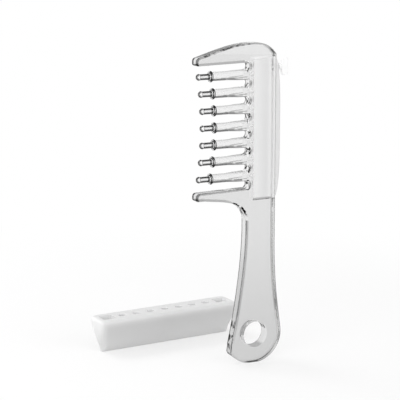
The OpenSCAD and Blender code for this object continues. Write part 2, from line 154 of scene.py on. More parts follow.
def comb_outline():
    """The front view, from the foot round by the spine, the crown and the teeth. Its plain numbers are the
    handles of the curves in millimetres and the counts of steps."""
    rise, heel_a, tip_a, foot_a = 8, 228, 107, -82.83
    side = (END_X + END_R * cos(radians(rise)), END_Z + END_R * sin(radians(rise)))
    heel, ha = (END_X - HEEL_D, HEEL_Z), radians(heel_a)
    out = (heel[0] + HEEL_R * cos(ha), heel[1] + HEEL_R * sin(ha))
    upper = GUARD_Z - GUARD_EDGE - GUARD_DIP + GUARD_TIP_H
    lower = LOWER_GUARD_Z + GUARD_EDGE - GUARD_DIP
    under = lower - GUARD_TIP_H
    foot_x = END_X - sqrt(END_R**2 - END_Z**2)
    points = arc(END_X, END_Z, END_R, foot_a, rise - 1.5, 40)
    points += curve(side, (side[0] - 14 * sin(radians(rise)), side[1] + 14 * cos(radians(rise))),
                    (HEAD_D, SPINE_Z - 28), (HEAD_D, SPINE_Z), 30)
    points += [(HEAD_D, SPINE_Z)]
    points += curve((HEAD_D, CORNER_Z), (HEAD_D - 3.5, CORNER_Z + 5.2), ((HEAD_D + CROWN_X) / 2, CROWN_Z),
                    (CROWN_X, CROWN_Z), 24)
    points += curve((CROWN_X, CROWN_Z), (CROWN_X - 13, CROWN_Z), (GUARD_X + 15, upper + 3.9),
                    guard_tip(upper, tip_a)[0], 36)
    points += guard_tip(upper, tip_a)
    for k in range(TEETH + 1):
        if k:
            points += [(ROOT_X - RUN_ON, tooth_z(k) + s * GUARD_EDGE) for s in (1, -1)]
        points += arc(ROOT_X, tooth_z(k + 0.5), GAP_R, 90, -90, 32)
    points += guard_tip(lower, 90)
    points += curve((GUARD_X + 6, under - 0.1), (GUARD_X + 18.5, under - 2.1), (GRIP_X + 0.4, under - 1.1),
                    (GRIP_X, under - 17.2), 40)
    points += curve((GRIP_X, under - 17.2), (GRIP_X + 0.2, WAIST_Z), (GRIP_X - 4.6, 38),
                    (heel[0] - HEEL_R, heel[1] + 0.6 * HEEL_R), 36)
    points += arc(*heel, HEEL_R, 186, heel_a - 2, 14)
    points += curve(out, (out[0] - 6 * sin(ha), out[1] + 6 * cos(ha)), (foot_x - 7, 0), (foot_x, 0), 20)
    points += [(foot_x, 0)]
    return points


def pocket_side(x0, x1, d):
    """Side view of the pocket, or of a solid in it, from x0 to x1 and d inside its ends."""
    return [(x0, POCKET_Z0 + d), (x1, POCKET_Z0 + d), (x1, pocket_top(x1) - d), (x0, pocket_top(x0) - d)]


# Meshes

# Faces that meet at a greater angle than this, in degrees, meet in a sharp edge
SHARP = 35


def to_object(name, bm):
    """An object from a finished bmesh, with its faces turned outwards and shaded smooth."""
    bmesh.ops.recalc_face_normals(bm, faces=bm.faces)
    mesh = bpy.data.meshes.new(name)
    bm.to_mesh(mesh)
    bm.free()
    obj = bpy.data.objects.new(name, mesh)
    bpy.context.collection.objects.link(obj)
    smooth(obj)
    return obj


def smooth(obj):
    mesh = obj.data
    mesh.polygons.foreach_set("use_smooth", [True] * len(mesh.polygons))
    mesh.set_sharp_from_angle(angle=radians(SHARP))


def loft(name, rings):
    """A closed solid through rings of points in millimetres, all with the same count."""
    bm = bmesh.new()
    rows = [[bm.verts.new(at(*p)) for p in ring] for ring in rings]
    for a, b in zip(rows, rows[1:]):
        for i in range(len(a)):
            j = (i + 1) % len(a)
            bm.faces.new((a[i], a[j], b[j], b[i]))
    bm.faces.new(rows[0])
    bm.faces.new(rows[-1])
    return to_object(name, bm)


def revolve(name, profile, place, fn=64):
    """A closed ring of (radius, distance) points turned round the axis that place gives, as
    place(radius cosine, radius sine, distance) -> point."""
    bm = bmesh.new()
    rows = []
    for i in range(fn):
        a = 2 * pi * i / fn
        rows.append([bm.verts.new(at(*place(r * cos(a), r * sin(a), d))) for r, d in profile])
    for i in range(fn):
        a, b = rows[i], rows[(i + 1) % fn]
        for j in range(len(profile)):
            k = (j + 1) % len(profile)
            bm.faces.new((a[j], b[j], b[k], a[k]))
    bmesh.ops.remove_doubles(bm, verts=bm.verts, dist=1e-7)
    return to_object(name, bm)


def plate(name, points, t, r, steps=8):
    """A plate t thick with the given front view, its edges rounded by r."""
    levels = [radians(90 * i / steps) for i in range(steps + 1)]
    side = [(r * (1 - sin(a)), t / 2 - r * (1 - cos(a))) for a in levels]
    rings = side + [(d, -y) for d, y in reversed(side)]
    return loft(name, [[(p[0], y, p[1]) for p in inset(points, d)] for d, y in rings])


def slab(name, side, t, y=0, r=0):
    """A prism t thick about the plane y, with the given side view in X and Z and edges rounded by r."""
    bm = bmesh.new()
    front, back = ([bm.verts.new(at(x, y + s * t / 2, z)) for x, z in side] for s in (-1, 1))
    for i in range(len(side)):
        j = (i + 1) % len(side)
        bm.faces.new((front[i], front[j], back[j], back[i]))
    bm.faces.new(front)
    bm.faces.new(back)
    if r:
        bmesh.ops.recalc_face_normals(bm, faces=bm.faces)
        bmesh.ops.bevel(bm, geom=list(bm.edges), offset=r / 1000, segments=3, profile=0.5, affect="EDGES")
    return to_object(name, bm)


def box_side(x0, x1, z0, z1):
    return [(x0, z0), (x1, z0), (x1, z1), (x0, z1)]


def join(objs):
    """One object from several, with no boolean between them."""
    bm = bmesh.new()
    for o in objs:
        bm.from_mesh(o.data)
    mesh = objs[0].data
    bm.to_mesh(mesh)
    bm.free()
    for o in objs[1:]:
        bpy.data.objects.remove(o)
    return objs[0]


def combine(obj, other, operation):
    """Boolean of two closed meshes, which uses up the second."""
    m = obj.modifiers.new("combine", "BOOLEAN")
    m.operation, m.object, m.solver = operation, other, "MANIFOLD"
    graph = bpy.context.evaluated_depsgraph_get()
    mesh = bpy.data.meshes.new_from_object(obj.evaluated_get(graph))
    obj.modifiers.clear()
    obj.data = mesh
    bpy.data.objects.remove(other)
    smooth(obj)


def weigh_normals(obj):
    m = obj.modifiers.new("normals", "WEIGHTED_NORMAL")
    m.keep_sharp, m.weight = True, 80


# Materials

# Roughness and refractive index of the clear plastic, and the shares of light that it and a nozzle pass
CLEAR_ROUGH, CLEAR_IOR, CLEAR_PASSES, NOZZLE_PASSES = 0.015, 1.49, 0.96, 0.9
# Greys of the clear plastic at the foot, at the head and where it is thin over the pocket, and in the teeth,
# along its silhouettes and on its rounded edges. The foot's darker grey is painted shade
CLEAR_FOOT, CLEAR_HEAD, CLEAR_THIN = 0.61, 0.735, 0.89
CLEAR_TEETH, CLEAR_RIM, CLEAR_EDGE = 0.86, 0.3, 0.3
# Heights in metres between which these change: the plate's grey, the light that it passes, the grey of its
# rounded edges, the streaks at the grip's curve, the narrow side's middle and the patches at the heel
PLATE_FADE, SHADOW_FADE, EDGE_FADE = (0.01, 0.1), (0.05, 0.1), (0.01, 0.03)
CURVE_FADE, SIDE_FADE, HEEL_FADE = (0.0955, 0.099), (0.06, 0.085), (0.034, 0.024)
# Half width in metres of the fade round the pocket, and width of the fade into the painted shade where the
# pad leaves the spine
POCKET_FADE, PAD_FADE = 0.0006, 0.0006
# Distances from the middle plane, in metres, between which the narrow side turns dark, and how much wider the
# dark borders are in the patches at the heel
SIDE_BORDER, HEEL_WIDER = (0.0016, 0.0026), 0.0018
# Places across the plate, in metres from its middle, between which the end of a guard tooth turns dark at the
# front and at the back
END_FRONT, END_BACK = (-0.0018, -0.0024), (0.0004, 0.0012)
# Bands in the hanging hole, in metres: their period along its axis, the heights from its middle between which
# they begin, and those between which its bottom turns darker. BAND_EDGE is where on a wave a band turns dark
BAND_PERIOD, BAND_FADE, BOTTOM_FADE, BAND_EDGE = 0.0031, (0.0026, 0.003), (-0.0058, -0.0074), (-0.3, 0.1)
# Second line of a tooth, in metres: how far it lies below the middle at the collar and at the root, and its
# half width without and with its fade
LINE_START, LINE_END, LINE_WIDTH = 0.0021, 0.001, (0.0002, 0.0005)
# Painted shade on the reservoir: from where to where it turns a little darker, in millimetres, the fade
# back beyond that, and the heights above the pocket's bottom between which its dark lower end turns light
TRAY_SHADE_X, TRAY_SHADE_FADE, TRAY_END_SHADE = (4, 12), 0.003, (0.0008, 0.002)
# Painted shade and light on the cap: how softly the outline of its front turns the corners, the distances
# inside that outline between which it turns dark, and the distance from its ends within which they turn light
CAP_BLEND, CAP_BORDER, CAP_END = 0.004, (-0.001, 0.006), 0.003
# Depth in metres of the unevenness of moulded faces at full strength
BUMP_DEPTH = 0.0002


def material(name, **inputs):
    m = bpy.data.materials.new(name)
    m.use_nodes = True
    shader = m.node_tree.nodes["Principled BSDF"]
    for key, value in inputs.items():
        shader.inputs[key.replace("_", " ")].default_value = value
    return m, m.node_tree, shader


def add(tree, kind, **settings):
    node = tree.nodes.new(kind)
    for key, value in settings.items():
        if key in node.inputs:
            node.inputs[key].default_value = value
        else:
            setattr(node, key, value)
    return node


def link(tree, value, socket):
    """Gives a socket its value: another socket, or a number, which a colour takes as a grey."""
    if not isinstance(value, float):
        tree.links.new(value, socket)
    elif socket.type == "RGBA":
        socket.default_value = (value, value, value, 1)
    else:
        socket.default_value = value


def calculate(tree, operation, *values):
    """The result of a Math node for numbers or sockets."""
    node = add(tree, "ShaderNodeMath", operation=operation)
    for value, socket in zip(values, node.inputs):
        link(tree, value, socket)
    return node.outputs[0]


def between(tree, value, start, end):
    """0 up to start, rising smoothly to 1 at end, or the other way round where end is the lower one."""
    share = add(tree, "ShaderNodeMapRange", interpolation_type="SMOOTHSTEP")
    share.inputs["From Min"].default_value, share.inputs["From Max"].default_value = start, end
    tree.links.new(value, share.inputs["Value"])
    return share.outputs["Result"]


def mix_colours(tree, share, low, high):
    """A colour between two, each a grey or a socket."""
    mix = add(tree, "ShaderNodeMix", data_type="RGBA")
    for value, index in ((share, 0), (low, 6), (high, 7)):
        link(tree, value, mix.inputs[index])
    return mix.outputs[2]


def mix_shaders(tree, share, low, high):
    mix = add(tree, "ShaderNodeMixShader")
    for value, socket in zip((share, low, high), mix.inputs):
        tree.links.new(value, socket)
    return mix.outputs[0]


def place_in(tree):
    """The place in the object's frame, which is the row frame."""
    return add(tree, "ShaderNodeTexCoord").outputs["Object"]


def parts(tree, vector):
    split = add(tree, "ShaderNodeSeparateXYZ")
    tree.links.new(vector, split.inputs[0])
    return split.outputs


def coordinate(tree, axis):
    return parts(tree, place_in(tree))[axis]


def from_middle(tree):
    """How far behind the middle plane of the comb a point lies."""
    return calculate(tree, "SUBTRACT", coordinate(tree, "Y"), ORIGIN.y)


def by_height(tree, fade, low, high):
    """A grey that turns from low to high between two heights."""
    return mix_colours(tree, between(tree, coordinate(tree, "Z"), *fade), low, high)


def patches(tree, scale, detail, start, end):
    """0 and 1 in patches, which are the smaller the greater the scale."""
    noise = add(tree, "ShaderNodeTexNoise", Scale=scale, Detail=detail)
    tree.links.new(place_in(tree), noise.inputs["Vector"])
    return between(tree, noise.outputs["Fac"], start, end)


def light_passes(tree, shader, share):
    """Light from lamps and from diffuse faces passes a clear piece and lights what lies in and under it."""
    path = add(tree, "ShaderNodeLightPath").outputs
    through = add(tree, "ShaderNodeBsdfTransparent")
    link(tree, share(tree) if callable(share) else share, through.inputs["Color"])
    passed = calculate(tree, "MAXIMUM", path["Is Shadow Ray"], path["Is Diffuse Ray"])
    surface = mix_shaders(tree, passed, shader.outputs[0], through.outputs[0])
    tree.links.new(surface, tree.nodes["Material Output"].inputs[0])


def clear_plastic(name, core, rim, start, end=1.0, ior=CLEAR_IOR, passes=CLEAR_PASSES):
    """Clear plastic of the grey core, which turns into the grey rim between two shares of the way to a
    silhouette. The core and the share of light that passes are numbers or are made by functions."""
    m, tree, shader = material(name, Roughness=CLEAR_ROUGH, IOR=ior, Transmission_Weight=1.0)
    colour = core(tree) if callable(core) else core
    if rim != core:
        facing = add(tree, "ShaderNodeLayerWeight", Blend=0.5).outputs["Facing"]
        colour = mix_colours(tree, between(tree, facing, start, end), colour, rim)
    link(tree, colour, shader.inputs["Base Color"])
    light_passes(tree, shader, passes)
    return m


def inside_pocket(tree):
    """1 over the pocket of the spine and 0 away from it."""
    low, high = at(POCKET_X, 0, POCKET_Z0), at(HEAD_D, 0, POCKET_Z1)
    offset = add(tree, "ShaderNodeVectorMath", operation="SUBTRACT")
    offset.inputs[1].default_value = (low + high) / 2
    size = add(tree, "ShaderNodeVectorMath", operation="ABSOLUTE")
    beyond = add(tree, "ShaderNodeVectorMath", operation="SUBTRACT")
    beyond.inputs[1].default_value = (high - low) / 2
    tree.links.new(place_in(tree), offset.inputs[0])
    tree.links.new(offset.outputs[0], size.inputs[0])
    tree.links.new(size.outputs[0], beyond.inputs[0])
    outside = parts(tree, beyond.outputs[0])
    most = calculate(tree, "MAXIMUM", outside["X"], outside["Z"])
    return between(tree, most, POCKET_FADE, -POCKET_FADE)


# Darker towards the foot as painted shade
def plate_grey(tree):
    thick = by_height(tree, PLATE_FADE, CLEAR_FOOT, CLEAR_HEAD)
    return mix_colours(tree, inside_pocket(tree), thick, CLEAR_THIN)


def plate_passes(tree):
    return by_height(tree, SHADOW_FADE, 0.7, CLEAR_PASSES)


def edge_grey(tree):
    return by_height(tree, EDGE_FADE, 0.6, CLEAR_EDGE)


def crown_grey(tree):
    return mix_colours(tree, patches(tree, scale=320.0, detail=2.0, start=0.42, end=0.58), 0.01, 0.42)


def gap_grey(tree):
    return mix_colours(tree, patches(tree, scale=520.0, detail=2.0, start=0.43, end=0.48), 0.0, 0.95)


def curve_grey(tree):
    """Dark streaks round the curve, and light below it."""
    streaks = mix_colours(tree, patches(tree, scale=600.0, detail=2.0, start=0.44, end=0.54), 0.0, 0.8)
    return by_height(tree, CURVE_FADE, 0.9, streaks)


def side_grey(tree):
    """Light in the middle and dark along both edges, which are broken and wider at the heel."""
    at_heel = between(tree, coordinate(tree, "Z"), *HEEL_FADE)
    spots = patches(tree, scale=190.0, detail=1.0, start=0.48, end=0.56)
    broken = calculate(tree, "MULTIPLY", spots, at_heel)
    apart = calculate(tree, "ABSOLUTE", from_middle(tree))
    wider = calculate(tree, "MULTIPLY_ADD", broken, HEEL_WIDER, apart)
    middle = by_height(tree, SIDE_FADE, 0.66, 0.97)
    dark = mix_colours(tree, broken, 0.06, 0.004)
    return mix_colours(tree, between(tree, wider, *SIDE_BORDER), middle, dark)


def wall_grey(tree):
    """The wall of the hanging hole: light, with three dark bands across its upper part and a dark bottom."""
    turns = calculate(tree, "MULTIPLY", coordinate(tree, "Y"), 2 * pi / BAND_PERIOD)
    wave = calculate(tree, "SINE", turns)
    bands = mix_colours(tree, between(tree, wave, *BAND_EDGE), 0.95, 0.0)
    upper = by_height(tree, [END_Z / 1000 + z for z in BAND_FADE], 0.97, bands)
    return by_height(tree, [END_Z / 1000 + z for z in BOTTOM_FADE], upper, 0.4)


def end_grey(tree):
    """The end of a guard tooth, dark along its edges and more so at the back."""
    front = mix_colours(tree, between(tree, from_middle(tree), *END_FRONT), 0.97, 0.06)
    return mix_colours(tree, between(tree, from_middle(tree), *END_BACK), front, 0.04)


def tooth_grey(tree):
    """Light, with a second thin line that climbs from the lower edge at the collar to the root."""
    place = parts(tree, place_in(tree))
    row, half = ROW_Z / 1000, PITCH / 2000
    climb = add(tree, "ShaderNodeMapRange")
    for key, value in (("From Min", at(-TOOTH_L, 0, 0).x), ("From Max", at(ROOT_X, 0, 0).x),
                       ("To Min", row - LINE_START), ("To Max", row - LINE_END)):
        climb.inputs[key].default_value = value
    tree.links.new(place["X"], climb.inputs["Value"])
    # All teeth are brought to the height of the middle one
    height = calculate(tree, "WRAP", place["Z"], row + half, row - half)
    apart = calculate(tree, "ABSOLUTE", calculate(tree, "SUBTRACT", height, climb.outputs["Result"]))
    return mix_colours(tree, between(tree, apart, *LINE_WIDTH), 0.3, CLEAR_TEETH)


# The lines and dark places that a clear comb and its nozzles get by refraction are partly painted on these
# parts of them, and low indices keep them plain. The bores hardly show
clear = clear_plastic("clear_plastic", plate_grey, CLEAR_RIM, 0.82, passes=plate_passes)
edge = clear_plastic("clear_plastic_edge", edge_grey, CLEAR_RIM, 0.8)
crown_mat = clear_plastic("clear_plastic_crown", crown_grey, 0.1, 0.9)
curve_mat = clear_plastic("clear_plastic_curve", curve_grey, 0.2, 0.9, ior=1.1)
tip_mat = clear_plastic("clear_plastic_tip", 0.08, 0.05, 0.8, ior=1.1)
foot_mat = clear_plastic("clear_plastic_foot", 0.5, 0.25, 0.6, ior=1.3)
side_mat = clear_plastic("clear_plastic_side", side_grey, 0.5, 0.9, ior=1.08)
spine_mat = clear_plastic("clear_plastic_spine", 0.8, 0.4, 0.85, ior=1.25)
end_mat = clear_plastic("clear_plastic_end", end_grey, 0.5, 0.9, ior=1.08)
tooth_mat = clear_plastic("clear_plastic_tooth", tooth_grey, 0.35, 0.7, 0.9, ior=1.3)
under_mat = clear_plastic("clear_plastic_under", 0.22, 0.15, 0.6, 0.9, ior=1.3)
gap_mat = clear_plastic("clear_plastic_gap", gap_grey, 0.6, 0.7, ior=1.02)
ring_mat = clear_plastic("clear_plastic_ring", 0.62, 0.5, 0.8, ior=1.05)
rim_mat = clear_plastic("clear_plastic_rim", 0.7, 0.5, 0.8, ior=1.2)
wall_mat = clear_plastic("clear_plastic_wall", wall_grey, 0.6, 0.8, ior=1.05)
inner = clear_plastic("clear_plastic_bore", 1.0, 1.0, 0.5, ior=1.02, passes=0.99)
spout_mat = clear_plastic("nozzle_spout", 0.98, 0.01, 0.06, 0.22, passes=NOZZLE_PASSES)
collar_mat = clear_plastic("nozzle_collar", 0.05, 0.02, 0.1, 0.5, passes=NOZZLE_PASSES)
disc_mat = clear_plastic("nozzle_disc", 0.9, 0.5, 0.6, 0.9, passes=NOZZLE_PASSES)
dome_mat = clear_plastic("nozzle_dome", 0.98, 0.02, 0.3, 0.55, passes=NOZZLE_PASSES)


def moulded(name, grey, scale, strength, **inputs):
    """Opaque plastic or silicone with a fine unevenness. Its grey is a number or is made by a function."""
    m, tree, shader = material(name, **inputs)
    link(tree, grey(tree) if callable(grey) else grey, shader.inputs["Base Color"])
    noise = add(tree, "ShaderNodeTexNoise", Scale=scale, Detail=3.0)
    tree.links.new(place_in(tree), noise.inputs["Vector"])
    bump = add(tree, "ShaderNodeBump", Strength=strength, Distance=BUMP_DEPTH)
    tree.links.new(noise.outputs["Fac"], bump.inputs["Height"])
    tree.links.new(bump.outputs["Normal"], shader.inputs["Normal"])
    return m


def tray_painted_shade(tree):
    """Painted shade: a little darker over a stretch of the wall, light again beyond it, and dark at the lower
    end.
    """
    place = parts(tree, place_in(tree))
    start, end = (at(x, 0, 0).x for x in TRAY_SHADE_X)
    fading = mix_colours(tree, between(tree, place["X"], start, end), 0.95, 0.85)
    level = mix_colours(tree, between(tree, place["X"], end, end + TRAY_SHADE_FADE), fading, 0.95)
    return by_height(tree, [POCKET_Z0 / 1000 + z for z in TRAY_END_SHADE], 0.45, level)


def pad_painted_shade(tree):
    """Painted shade: darker where the pad stands out of the spine."""
    spine = at(HEAD_D, 0, 0).x
    share = between(tree, coordinate(tree, "X"), spine - PAD_FADE, spine)
    return mix_colours(tree, share, 0.95, 0.72)


def cap_painted_shade(tree):
    """Painted shade and light: darker on the front, downwards less so, than on the top, and lighter at the
    ends.
    """
    place = parts(tree, place_in(tree))
    along = calculate(tree, "ABSOLUTE", calculate(tree, "SUBTRACT", place["X"], at(CAP_X, CAP_Y, 0).x))
    from_end = calculate(tree, "SUBTRACT", CAP_L / 2000, along)
    from_top = calculate(tree, "SUBTRACT", CAP_H / 1000, place["Z"])
    inside = calculate(tree, "SMOOTH_MIN", from_end, from_top, CAP_BLEND)
    front = mix_colours(tree, between(tree, place["Z"], 0.0, CAP_H / 1000), 0.74, 0.58)
    sides = mix_colours(tree, between(tree, inside, *CAP_BORDER), 0.76, front)
    return mix_colours(tree, between(tree, from_end, CAP_END, 0.0), sides, 0.9)


SILICONE = {"scale": 1400, "strength": 0.05, "Subsurface_Radius": (1, 1, 1), "Subsurface_Scale": 0.003}
white = moulded("white_plastic", tray_painted_shade, scale=900, strength=0.04, Roughness=0.42)
pad_mat = moulded("white_silicone_pad", pad_painted_shade, Roughness=0.5, Subsurface_Weight=0.25, **SILICONE)
plug_mat = moulded("white_silicone_plug", 0.94, Roughness=0.5, Subsurface_Weight=0.25, **SILICONE)
milky = moulded("milky_silicone", cap_painted_shade, Roughness=0.42, Subsurface_Weight=0.3, **SILICONE)
# The cap's sockets and slots are painted a lighter grey than its top: painted light that keeps their shade
# faint
hollow_painted_light_mat = material("milky_silicone_hollow", Roughness=0.5, Base_Color=(0.86, 0.86, 0.86, 1))[0]


# Pieces

# Millimetres by which a cutting form runs past the faces that it cuts, by which the tooth forms stay inside
# the plate's faces, and by which a face's place may be off when a finish is chosen for it
OVERRUN, INSET, NEAR = 1, 0.01, 0.1


def dress(obj, mat, body, slot, *nodes):
    obj.data.materials.clear()
    obj.data.materials.append(mat)
    weigh_normals(obj)
    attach(obj, body)
    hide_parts(*nodes)


def paint(obj, mat, chosen):
    """Gives one more material to the faces that chosen(centre in millimetres, normal) picks."""
    obj.data.materials.append(mat)
    index = len(obj.data.materials) - 1
    for face in obj.data.polygons:
        if chosen((face.center - ORIGIN) * 1000, face.normal):
            face.material_index = index


# The clear comb: plate and teeth in one moulding, less the pocket, the bores and the hanging hole

def tooth(k):
    """A flat bar with rounded edges that turns into a round tube."""
    l = ROOT_X - seat_x(k)
    flat_w, flat_h, socket_r = PLATE_T - 2 * INSET, TOOTH_H - 2 * INSET, TOOTH_TIP_D / 2 - INSET
    # Share of the length, width across the plate, share of the taper in height, and corner radius
    shares = [(-1.2 / l, flat_w, 0, EDGE_R), (0, flat_w, 0, EDGE_R), (0.26, PLATE_T * 0.94, 0.45, 1.6),
              (0.4, PLATE_T * 0.83, 0.7, 2.1), (0.5, TOOTH_TIP_D + 0.4, 0.9, socket_r - 0.3),
              (0.56, TOOTH_TIP_D, 1, socket_r), (1, TOOTH_TIP_D, 1, socket_r)]
    rings = []
    last = len(shares) - 2
    for i, (a, b) in enumerate(zip(shares, shares[1:])):
        # The first and the last stretch are straight
        steps = 1 if i in (0, last) else 4
        for j in range(steps + (i == last)):
            t, w, f, r = (a[n] + (b[n] - a[n]) * j / steps for n in (0, 1, 2, 3))
            h = flat_h + (TOOTH_TIP_D - TOOTH_H) * f
            section = round_rect(w, h, min(r, h / 2 - INSET))
            rings.append([(ROOT_X - t * l, p[0], tooth_z(k) + p[1]) for p in section])
    return loft(f"tooth_{k}_form", rings)


def bore(k):
    seat = seat_x(k)
    step = seat + STEM_L + FIT
    start, end, r = seat - OVERRUN, POCKET_X + OVERRUN, STEM_R + FIT
    profile = [(0, start), (r, start), (r, step), (FEED_R, step + 0.3), (FEED_R, end), (0, end)]
    return revolve(f"bore_{k}", profile, lambda u, v, d: (d, u, tooth_z(k) + v), fn=48)


comb = plate("clear_comb", comb_outline(), PLATE_T, EDGE_R)
# The plate runs on into the teeth, and is cut square at their roots
roots = box_side(ROOT_X - 5, ROOT_X, tooth_z(TEETH + 0.5), tooth_z(0.5))
combine(comb, slab("roots", roots, 2 * PLATE_T), "DIFFERENCE")
combine(comb, join([tooth(k) for k in ROW]), "UNION")
combine(comb, slab("pocket", pocket_side(POCKET_X, HEAD_D + 2 * OVERRUN, 0), POCKET_T), "DIFFERENCE")
combine(comb, join([bore(k) for k in ROW]), "DIFFERENCE")
hole_r, half_t = HANG_R + HANG_RIM, PLATE_T / 2
rim = arc(hole_r, half_t - HANG_RIM, HANG_RIM, 180, 90, 8)
profile = ([(0, half_t + OVERRUN), (0, -half_t - OVERRUN), (hole_r, -half_t - OVERRUN)]
           + [(r, -d) for r, d in reversed(rim)] + rim + [(hole_r, half_t + OVERRUN)])
combine(comb, revolve("hole", profile, lambda u, v, d: (END_X + u, d, END_Z + v), fn=128), "DIFFERENCE")
dress(comb, clear, "comb", "clear_plastic", "comb_body", *(f"tooth_{k}" for k in ROW))

# The finish of a face of the comb follows from its centre c and its normal n. Where the normal has less than
# SIDE across the plate, the face is a narrow side, and where it has more than FLAT, the flat front or back.
# The plain numbers bound each part, in millimetres or as shares of a normal
SIDE, FLAT = 0.15, 0.98


def in_row(c):
    return any(abs(c.z - tooth_z(k)) < GUARD_EDGE + NEAR for k in ROW)


def from_hole(c):
    return hypot(c.x - END_X, c.z - END_Z)


def on_edge(c, n):
    return SIDE < abs(n.y) < FLAT and not (c.x < ROOT_X - 9 and in_row(c))


def on_tooth(c, n):
    return c.x < ROOT_X - 0.5 and in_row(c)


def on_under(c, n):
    return on_tooth(c, n) and n.z < -0.4


def on_gap(c, n):
    return ROOT_X < c.x < NEAR and abs(n.y) < FLAT and LOWER_GUARD_Z < c.z < GUARD_Z


def on_side(c, n):
    return abs(n.y) < SIDE and n.x < -0.3 and 5 < c.z < LOWER_GUARD_Z - GUARD_TIP_H and c.x > -15


def on_spine(c, n):
    return abs(n.y) < SIDE and n.x > 0.3 and c.x > END_X + HANG_R + 2 and c.z < POCKET_Z0


def on_foot(c, n):
    on_heel = abs(n.y) < SIDE and c.x < END_X - HEEL_D and c.z > 5
    below = abs(n.y) < FLAT and c.z < 32 and (n.z < -0.2 or n.x > 0.3) and not on_heel
    return below and from_hole(c) > HANG_R + 2


def on_curve(c, n):
    return abs(n.y) < FLAT and -12 < c.x < GRIP_X + 2 and 94 < c.z < LOWER_GUARD_Z - 1 and n.z < 0.1


def on_crown(c, n):
    return n.z > 0.2 and abs(n.y) < FLAT and GUARD_Z < c.z and -32 < c.x < 0


def on_tip(c, n):
    return SIDE < abs(n.y) < 0.9 and c.x < GUARD_X + 2.2


def on_end(c, n):
    return abs(n.y) < SIDE and n.x < -0.3 and c.x < GUARD_X + 3


def on_rim(c, n):
    return 0.1 < abs(n.y) < FLAT and from_hole(c) < hole_r


def on_hole(c, n):
    return abs(n.y) < 0.7 and from_hole(c) < hole_r


def on_ring(c, n):
    """The part of the hanging hole to the upper left of a slanting line."""
    return on_hole(c, n) and 3 * (c.z - END_Z) - 4 * (c.x - END_X) > -8


def on_wall(c, n):
    return on_hole(c, n) and not on_ring(c, n)


def on_bore(c, n):
    return c.x < POCKET_X and any(hypot(c.y, c.z - tooth_z(k)) < STEM_R + NEAR for k in ROW)


# A later finish takes over faces of an earlier one
for mat, chosen in ((edge, on_edge), (tooth_mat, on_tooth), (under_mat, on_under), (gap_mat, on_gap),
                    (side_mat, on_side), (spine_mat, on_spine), (foot_mat, on_foot), (curve_mat, on_curve),
                    (crown_mat, on_crown), (tip_mat, on_tip), (end_mat, on_end), (rim_mat, on_rim),
                    (ring_mat, on_ring), (wall_mat, on_wall), (inner, on_bore)):
    paint(comb, mat, chosen)

# Nozzles
for k in ROW:
    neck = NOZZLE_L - DOME_L
    r = COLLAR_T * 0.35
    profile = ([(ORIFICE_R, -STEM_L), (STEM_R - 0.2, -STEM_L), (STEM_R, 0.3 - STEM_L), (STEM_R, 0)]
               + arc(COLLAR_R - r, r, r, -90, 0, 5) + arc(COLLAR_R - r, COLLAR_T - r, r, 0, 90, 5)
               + [(SPOUT_R + 0.2, COLLAR_T), (SPOUT_R, COLLAR_T + 0.2), (SPOUT_R, neck - 0.35),
                  (DOME_R - 0.12, neck - 0.05)]
               + [(DOME_R * cos(radians(a)), neck + DOME_L * sin(radians(a))) for a in range(4, 74, 6)]
               + [(ORIFICE_R, neck + DOME_L * sqrt(1 - (ORIFICE_R / DOME_R)**2))])
    seat, z = seat_x(k), tooth_z(k)
    collar_mid, collar_end, dome_x = seat - COLLAR_T * 0.55, seat - COLLAR_T - 0.15, seat - neck
    nozzle = revolve(f"clear_nozzle_{k}", profile, lambda u, v, d: (seat - d, u, z + v))
    dress(nozzle, spout_mat, "comb", "nozzle_plastic", f"nozzle_{k}")
    # The collar's inner half is painted dark, and so is a thin ring behind the dome, standing in for the dark
    # that refraction gives them
    paint(nozzle, collar_mat, lambda c, n: c.x > collar_mid or dome_x < c.x < dome_x + 0.6)
    paint(nozzle, disc_mat,
          lambda c, n: collar_end < c.x <= collar_mid or abs(n.x) > 0.9 and c.x > seat - 0.2)
    paint(nozzle, dome_mat, lambda c, n: c.x < dome_x)
    paint(nozzle, inner, lambda c, n: c.x > seat or hypot(c.y, c.z - z) < ORIFICE_R + NEAR / 2)

# Reservoir
tray_t = POCKET_T - 2 * SLIP
tray = slab("reservoir_tray", pocket_side(TRAY_X0, TRAY_X1, SLIP), tray_t, r=0.5)
outlet_r, outlet_x0, outlet_x1 = FEED_R - 2 * FIT, TRAY_X0 - OUTLET_L, TRAY_X0 + 0.4
outlet = [(ORIFICE_R, outlet_x0), (outlet_r, outlet_x0), (outlet_r, outlet_x1), (ORIFICE_R, outlet_x1)]
for k in ROW:
    combine(tray, revolve("outlet", outlet, lambda u, v, d: (d, u, tooth_z(k) + v), fn=32), "UNION")
hollow_t = tray_t - 2 * SHELL_T
hollow = pocket_side(TRAY_X0 + SHELL_T, TRAY_X1 + OVERRUN, SLIP + SHELL_T)
combine(tray, slab("hollow", hollow, hollow_t), "DIFFERENCE")
dress(tray, white, "reservoir", "white_plastic", "reservoir")


# Squeeze pad: a crowned strip with its ends drawn in, and a tongue inside the reservoir

def pad_face(z):
    return HEAD_D + PAD_CROWN * sqrt(max(0, 1 - min(1, abs(z - PAD_MID) / PAD_HALF)**3.5))


